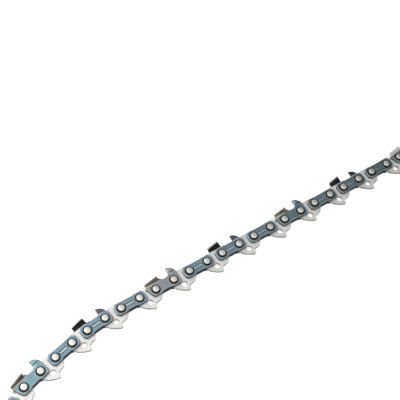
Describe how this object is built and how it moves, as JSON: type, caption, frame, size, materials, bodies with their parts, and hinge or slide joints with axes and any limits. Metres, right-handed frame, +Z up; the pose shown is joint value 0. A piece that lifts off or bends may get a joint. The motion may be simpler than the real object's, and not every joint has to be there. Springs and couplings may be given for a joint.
{
  "type": "saw chain loop",
  "caption": "Closed loop of low-profile saw chain lying on its side: hooked drive links, riveted tie straps and cutters of both hands with depth gauges.",
  "frame": {"origin": "middle of the loop's box, on the table it lies on", "axes": "+X along the straight run in its running direction, +Y out of that run on the cutter side, +Z up along the rivets"},
  "size_m": [0.3264, 0.1534, 0.0066],
  "materials": {
    "link_steel": "blued tie straps, bright drive links and satin rivets",
    "cutter_steel": "blued steel with a chromed top plate"
  },
  "bodies": {
    "unit_01": {"link_01": "link_steel", "cutter_right_01": "cutter_steel"},
    "unit_02": {"link_02": "link_steel"},
    "unit_03": {"link_03": "link_steel", "cutter_left_01": "cutter_steel"},
    "unit_04": {"link_04": "link_steel"},
    "unit_05": {"link_05": "link_steel", "cutter_right_02": "cutter_steel"},
    "unit_06": {"link_06": "link_steel"},
    "unit_07": {"link_07": "link_steel", "cutter_left_02": "cutter_steel"},
    "unit_08": {"link_08": "link_steel"},
    "unit_09": {"link_09": "link_steel", "cutter_right_03": "cutter_steel"},
    "unit_10": {"link_10": "link_steel"},
    "unit_11": {"link_11": "link_steel", "cutter_left_03": "cutter_steel"},
    "unit_12": {"link_12": "link_steel"},
    "unit_13": {"link_13": "link_steel", "cutter_right_04": "cutter_steel"},
    "unit_14": {"link_14": "link_steel"},
    "unit_15": {"link_15": "link_steel", "cutter_left_04": "cutter_steel"},
    "unit_16": {"link_16": "link_steel"},
    "unit_17": {"link_17": "link_steel", "cutter_right_05": "cutter_steel"},
    "unit_18": {"link_18": "link_steel"},
    "unit_19": {"link_19": "link_steel", "cutter_left_05": "cutter_steel"},
    "unit_20": {"link_20": "link_steel"},
    "unit_21": {"link_21": "link_steel", "cutter_right_06": "cutter_steel"},
    "unit_22": {"link_22": "link_steel"},
    "unit_23": {"link_23": "link_steel", "cutter_left_06": "cutter_steel"},
    "unit_24": {"link_24": "link_steel"},
    "unit_25": {"link_25": "link_steel", "cutter_right_07": "cutter_steel"},
    "unit_26": {"link_26": "link_steel"},
    "unit_27": {"link_27": "link_steel", "cutter_left_07": "cutter_steel"},
    "unit_28": {"link_28": "link_steel"},
    "unit_29": {"link_29": "link_steel", "cutter_right_08": "cutter_steel"},
    "unit_30": {"link_30": "link_steel"},
    "unit_31": {"link_31": "link_steel", "cutter_left_08": "cutter_steel"},
    "unit_32": {"link_32": "link_steel"},
    "unit_33": {"link_33": "link_steel", "cutter_right_09": "cutter_steel"},
    "unit_34": {"link_34": "link_steel"},
    "unit_35": {"link_35": "link_steel", "cutter_left_09": "cutter_steel"},
    "unit_36": {"link_36": "link_steel"},
    "unit_37": {"link_37": "link_steel", "cutter_right_10": "cutter_steel"},
    "unit_38": {"link_38": "link_steel"},
    "unit_39": {"link_39": "link_steel", "cutter_left_10": "cutter_steel"},
    "unit_40": {"link_40": "link_steel"}
  },
  "joints": [
    {"name": "rivet_09", "type": "hinge", "parent": "unit_08", "child": "unit_09", "pos_m": [0.00512, 0.06895, 0.0033], "axis": [0, 0, 1], "range_deg": [-3.36, 1.69]},
    {"name": "rivet_10", "type": "hinge", "parent": "unit_09", "child": "unit_10", "pos_m": [0.02376, 0.06895, 0.0033], "axis": [0, 0, 1], "range_deg": [-3.15, 1.6]},
    {"name": "rivet_11", "type": "hinge", "parent": "unit_10", "child": "unit_11", "pos_m": [0.0424, 0.06895, 0.0033], "axis": [0, 0, 1], "range_deg": [-2.75, 1.44]},
    {"name": "rivet_12", "type": "hinge", "parent": "unit_11", "child": "unit_12", "pos_m": [0.06104, 0.06895, 0.0033], "axis": [0, 0, 1], "range_deg": [-2.33, 1.26]},
    {"name": "rivet_13", "type": "hinge", "parent": "unit_12", "child": "unit_13", "pos_m": [0.07968, 0.06895, 0.0033], "axis": [0, 0, 1], "range_deg": [-2.27, 1.24]},
    {"name": "rivet_14", "type": "hinge", "parent": "unit_13", "child": "unit_14", "pos_m": [0.09832, 0.06895, 0.0033], "axis": [0, 0, 1], "range_deg": [-3.33, 1.68]},
    {"name": "rivet_15", "type": "hinge", "parent": "unit_14", "child": "unit_15", "pos_m": [0.11696, 0.06895, 0.0033], "axis": [0, 0, 1], "range_deg": [-4.06, 1.98]},
    {"name": "rivet_16", "type": "hinge", "parent": "unit_15", "child": "unit_16", "pos_m": [0.13526, 0.06637, 0.0033], "axis": [0, 0, 1], "range_deg": [-4.39, 9.83]},
    {"name": "main_fold", "type": "hinge", "parent": "unit_16", "child": "unit_17", "pos_m": [0.14975, 0.05491, 0.0033], "axis": [0, 0, 1], "range_deg": [-4.19, 10.05]},
    {"name": "rivet_18", "type": "hinge", "parent": "unit_17", "child": "unit_18", "pos_m": [0.15647, 0.0377, 0.0033], "axis": [0, 0, 1], "range_deg": [-4.37, 9.8]},
    {"name": "rivet_19", "type": "hinge", "parent": "unit_18", "child": "unit_19", "pos_m": [0.15357, 0.01945, 0.0033], "axis": [0, 0, 1], "range_deg": [-4.21, 9.39]},
    {"name": "rivet_20", "type": "hinge", "parent": "unit_19", "child": "unit_20", "pos_m": [0.14186, 0.00516, 0.0033], "axis": [0, 0, 1], "range_deg": [-4.83, 2.31]},
    {"name": "rivet_21", "type": "hinge", "parent": "unit_20", "child": "unit_21", "pos_m": [0.12834, -0.00768, 0.0033], "axis": [0, 0, 1], "range_deg": [-8.52, 3.84]},
    {"name": "rivet_22", "type": "hinge", "parent": "unit_21", "child": "unit_22", "pos_m": [0.11482, -0.02051, 0.0033], "axis": [0, 0, 1], "range_deg": [-8.82, 3.97]},
    {"name": "rivet_23", "type": "hinge", "parent": "unit_22", "child": "unit_23", "pos_m": [0.1013, -0.03334, 0.0033], "axis": [0, 0, 1], "range_deg": [-9.52, 4.26]},
    {"name": "rivet_24", "type": "hinge", "parent": "unit_23", "child": "unit_24", "pos_m": [0.08778, -0.04617, 0.0033], "axis": [0, 0, 1], "range_deg": [-5.56, 2.61]},
    {"name": "rivet_25", "type": "hinge", "parent": "unit_24", "child": "unit_25", "pos_m": [0.07347, -0.05806, 0.0033], "axis": [0, 0, 1], "range_deg": [-4.11, 9.17]},
    {"name": "rivet_26", "type": "hinge", "parent": "unit_25", "child": "unit_26", "pos_m": [0.05665, -0.06602, 0.0033], "axis": [0, 0, 1], "range_deg": [-4, 8.9]},
    {"name": "rivet_27", "type": "hinge", "parent": "unit_26", "child": "unit_27", "pos_m": [0.03839, -0.06956, 0.0033], "axis": [0, 0, 1], "range_deg": [-4.01, 8.93]},
    {"name": "rivet_28", "type": "hinge", "parent": "unit_27", "child": "unit_28", "pos_m": [0.01982, -0.06845, 0.0033], "axis": [0, 0, 1], "range_deg": [-3.88, 8.6]},
    {"name": "rivet_08", "type": "hinge", "parent": "unit_08", "child": "unit_07", "pos_m": [-0.01352, 0.06895, 0.0033], "axis": [0, 0, 1], "range_deg": [-2.01, 4.12]},
    {"name": "rivet_07", "type": "hinge", "parent": "unit_07", "child": "unit_06", "pos_m": [-0.03216, 0.06895, 0.0033], "axis": [0, 0, 1], "range_deg": [-1.94, 3.96]},
    {"name": "rivet_06", "type": "hinge", "parent": "unit_06", "child": "unit_05", "pos_m": [-0.0508, 0.06895, 0.0033], "axis": [0, 0, 1], "range_deg": [-1.88, 3.82]},
    {"name": "rivet_05", "type": "hinge", "parent": "unit_05", "child": "unit_04", "pos_m": [-0.06944, 0.06895, 0.0033], "axis": [0, 0, 1], "range_deg": [-1.51, 2.93]},
    {"name": "rivet_04", "type": "hinge", "parent": "unit_04", "child": "unit_03", "pos_m": [-0.08807, 0.0684, 0.0033], "axis": [0, 0, 1], "range_deg": [-0.95, 1.59]},
    {"name": "rivet_03", "type": "hinge", "parent": "unit_03", "child": "unit_02", "pos_m": [-0.10649, 0.06562, 0.0033], "axis": [0, 0, 1], "range_deg": [-1.5, 2.89]},
    {"name": "rivet_02", "type": "hinge", "parent": "unit_02", "child": "unit_01", "pos_m": [-0.12457, 0.06111, 0.0033], "axis": [0, 0, 1], "range_deg": [-2.4, 5.06]},
    {"name": "rivet_01", "type": "hinge", "parent": "unit_01", "child": "unit_40", "pos_m": [-0.14161, 0.05391, 0.0033], "axis": [0, 0, 1], "range_deg": [-9.64, 4.31]},
    {"name": "rivet_40", "type": "hinge", "parent": "unit_40", "child": "unit_39", "pos_m": [-0.15314, 0.03944, 0.0033], "axis": [0, 0, 1], "range_deg": [-9.08, 4.08]},
    {"name": "rivet_39", "type": "hinge", "parent": "unit_39", "child": "unit_38", "pos_m": [-0.15635, 0.02123, 0.0033], "axis": [0, 0, 1], "range_deg": [-8.4, 3.79]},
    {"name": "rivet_38", "type": "hinge", "parent": "unit_38", "child": "unit_37", "pos_m": [-0.15049, 0.00369, 0.0033], "axis": [0, 0, 1], "range_deg": [-7.65, 3.48]},
    {"name": "rivet_37", "type": "hinge", "parent": "unit_37", "child": "unit_36", "pos_m": [-0.13695, -0.00892, 0.0033], "axis": [0, 0, 1], "range_deg": [-5.8, 2.71]},
    {"name": "rivet_36", "type": "hinge", "parent": "unit_36", "child": "unit_35", "pos_m": [-0.11957, -0.01565, 0.0033], "axis": [0, 0, 1], "range_deg": [-2.45, 5.19]},
    {"name": "rivet_35", "type": "hinge", "parent": "unit_35", "child": "unit_34", "pos_m": [-0.10219, -0.02238, 0.0033], "axis": [0, 0, 1], "range_deg": [-2.27, 4.74]},
    {"name": "rivet_34", "type": "hinge", "parent": "unit_34", "child": "unit_33", "pos_m": [-0.08481, -0.02911, 0.0033], "axis": [0, 0, 1], "range_deg": [-2.27, 4.75]},
    {"name": "rivet_33", "type": "hinge", "parent": "unit_33", "child": "unit_32", "pos_m": [-0.06742, -0.03585, 0.0033], "axis": [0, 0, 1], "range_deg": [-2.32, 4.86]},
    {"name": "rivet_32", "type": "hinge", "parent": "unit_32", "child": "unit_31", "pos_m": [-0.05004, -0.04258, 0.0033], "axis": [0, 0, 1], "range_deg": [-2.46, 5.21]},
    {"name": "rivet_31", "type": "hinge", "parent": "unit_31", "child": "unit_30", "pos_m": [-0.03266, -0.04931, 0.0033], "axis": [0, 0, 1], "range_deg": [-2.67, 5.7]},
    {"name": "rivet_30", "type": "hinge", "parent": "unit_30", "child": "unit_29", "pos_m": [-0.01528, -0.05604, 0.0033], "axis": [0, 0, 1], "range_deg": [-2.61, 5.57]}
  ],
  "couplings": [
    {"joint": "rivet_09", "follows": "main_fold", "ratio": -0.28452},
    {"joint": "rivet_10", "follows": "main_fold", "ratio": -0.26376},
    {"joint": "rivet_11", "follows": "main_fold", "ratio": -0.22358},
    {"joint": "rivet_12", "follows": "main_fold", "ratio": -0.18206},
    {"joint": "rivet_13", "follows": "main_fold", "ratio": -0.17568},
    {"joint": "rivet_14", "follows": "main_fold", "ratio": -0.282},
    {"joint": "rivet_15", "follows": "main_fold", "ratio": -0.35395},
    {"joint": "rivet_16", "follows": "main_fold", "ratio": 0.92854},
    {"joint": "rivet_18", "follows": "main_fold", "ratio": 0.92524},
    {"joint": "rivet_19", "follows": "main_fold", "ratio": 0.88487},
    {"joint": "rivet_20", "follows": "main_fold", "ratio": -0.43132},
    {"joint": "rivet_21", "follows": "main_fold", "ratio": -0.79822},
    {"joint": "rivet_22", "follows": "main_fold", "ratio": -0.82797},
    {"joint": "rivet_23", "follows": "main_fold", "ratio": -0.89784},
    {"joint": "rivet_24", "follows": "main_fold", "ratio": -0.5035},
    {"joint": "rivet_25", "follows": "main_fold", "ratio": 0.86268},
    {"joint": "rivet_26", "follows": "main_fold", "ratio": 0.83593},
    {"joint": "rivet_27", "follows": "main_fold", "ratio": 0.83922},
    {"joint": "rivet_28", "follows": "main_fold", "ratio": 0.80637},
    {"joint": "rivet_08", "follows": "main_fold", "ratio": 0.36059},
    {"joint": "rivet_07", "follows": "main_fold", "ratio": 0.34433},
    {"joint": "rivet_06", "follows": "main_fold", "ratio": 0.3307},
    {"joint": "rivet_05", "follows": "main_fold", "ratio": 0.24138},
    {"joint": "rivet_04", "follows": "main_fold", "ratio": 0.10853},
    {"joint": "rivet_03", "follows": "main_fold", "ratio": 0.23818},
    {"joint": "rivet_02", "follows": "main_fold", "ratio": 0.45344},
    {"joint": "rivet_01", "follows": "main_fold", "ratio": -0.90947},
    {"joint": "rivet_40", "follows": "main_fold", "ratio": -0.85415},
    {"joint": "rivet_39", "follows": "main_fold", "ratio": -0.78608},
    {"joint": "rivet_38", "follows": "main_fold", "ratio": -0.71189},
    {"joint": "rivet_37", "follows": "main_fold", "ratio": -0.52778},
    {"joint": "rivet_36", "follows": "main_fold", "ratio": 0.46636},
    {"joint": "rivet_35", "follows": "main_fold", "ratio": 0.42166},
    {"joint": "rivet_34", "follows": "main_fold", "ratio": 0.42257},
    {"joint": "rivet_33", "follows": "main_fold", "ratio": 0.43422},
    {"joint": "rivet_32", "follows": "main_fold", "ratio": 0.46876},
    {"joint": "rivet_31", "follows": "main_fold", "ratio": 0.51782},
    {"joint": "rivet_30", "follows": "main_fold", "ratio": 0.50423}
  ]
}
